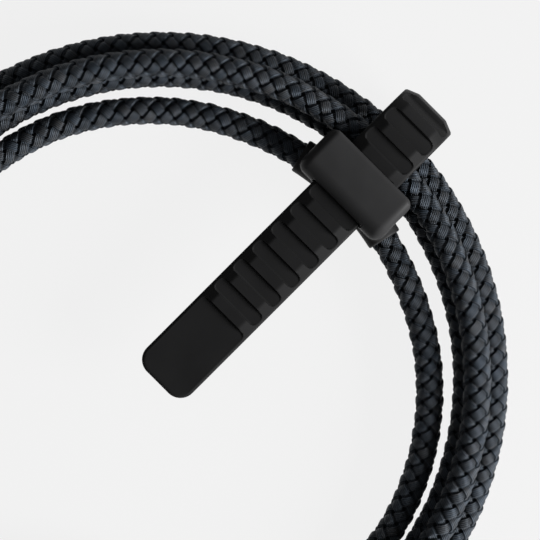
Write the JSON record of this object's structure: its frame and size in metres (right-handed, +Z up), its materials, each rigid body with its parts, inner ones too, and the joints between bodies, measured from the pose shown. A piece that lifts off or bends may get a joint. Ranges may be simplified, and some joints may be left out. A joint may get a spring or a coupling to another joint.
{
  "type": "charging cable",
  "caption": "Braided charging cable with a USB-C plug at each end, coiled flat and held by a ribbed silicone strap looped through a sliding keeper.",
  "frame": {"origin": "on the ground, in the middle of the strap's flat underside below the cord's bundle", "axes": "+Z up from the ground; +X along the strap, from the coil's centre outward past the bundle; +Y along the cord at the tie"},
  "size_m": [0.1392, 0.1313, 0.0165],
  "materials": {
    "braid": "tightly braided matte yarn",
    "silicone": "smooth satin silicone",
    "relief_rubber": "matte moulded elastomer",
    "cover_plastic": "fine satin moulding",
    "nickel_steel": "satin nickel plate",
    "insulator_plastic": "plain moulding",
    "gold_plate": "polished gold plate",
    "circuit_board": "green solder mask",
    "chip": "black moulded package",
    "red_wire": "plain insulation",
    "blue_wire": "plain insulation",
    "black_wire": "plain insulation",
    "green_wire": "plain insulation",
    "white_wire": "plain insulation"
  },
  "bodies": {
    "cable": {"cord_coil": "braid", "cord_inner_turn": "braid", "cord_tail": "braid", "inner_plug_channel_wire": "blue_wire", "inner_plug_circuit_board": "circuit_board", "inner_plug_cover": "cover_plastic", "inner_plug_crimp_collar": "nickel_steel", "inner_plug_data_minus_wire": "white_wire", "inner_plug_data_plus_wire": "green_wire", "inner_plug_ground_wire": "black_wire", "inner_plug_insulator": "insulator_plastic", "inner_plug_latch_spring": "nickel_steel", "inner_plug_lower_contacts": "gold_plate", "inner_plug_marker_chip": "chip", "inner_plug_power_wire": "red_wire", "inner_plug_shell": "nickel_steel", "inner_plug_shield_can_bottom": "nickel_steel", "inner_plug_shield_can_top": "nickel_steel", "inner_plug_strain_relief": "relief_rubber", "inner_plug_upper_contacts": "gold_plate", "outer_plug_channel_wire": "blue_wire", "outer_plug_circuit_board": "circuit_board", "outer_plug_cover": "cover_plastic", "outer_plug_crimp_collar": "nickel_steel", "outer_plug_data_minus_wire": "white_wire", "outer_plug_data_plus_wire": "green_wire", "outer_plug_ground_wire": "black_wire", "outer_plug_insulator": "insulator_plastic", "outer_plug_latch_spring": "nickel_steel", "outer_plug_lower_contacts": "gold_plate", "outer_plug_marker_chip": "chip", "outer_plug_power_wire": "red_wire", "outer_plug_shell": "nickel_steel", "outer_plug_shield_can_bottom": "nickel_steel", "outer_plug_shield_can_top": "nickel_steel", "outer_plug_strain_relief": "relief_rubber", "outer_plug_upper_contacts": "gold_plate"},
    "tie": {"tie_keeper": "silicone", "tie_strap": "silicone"}
  },
  "joints": [
    {"name": "tie_slide", "type": "hinge", "parent": "cable", "child": "tie", "pos_m": [-0.05855, 0, 0.004], "axis": [0, 0, 1], "range_deg": [-10, 10]}
  ]
}
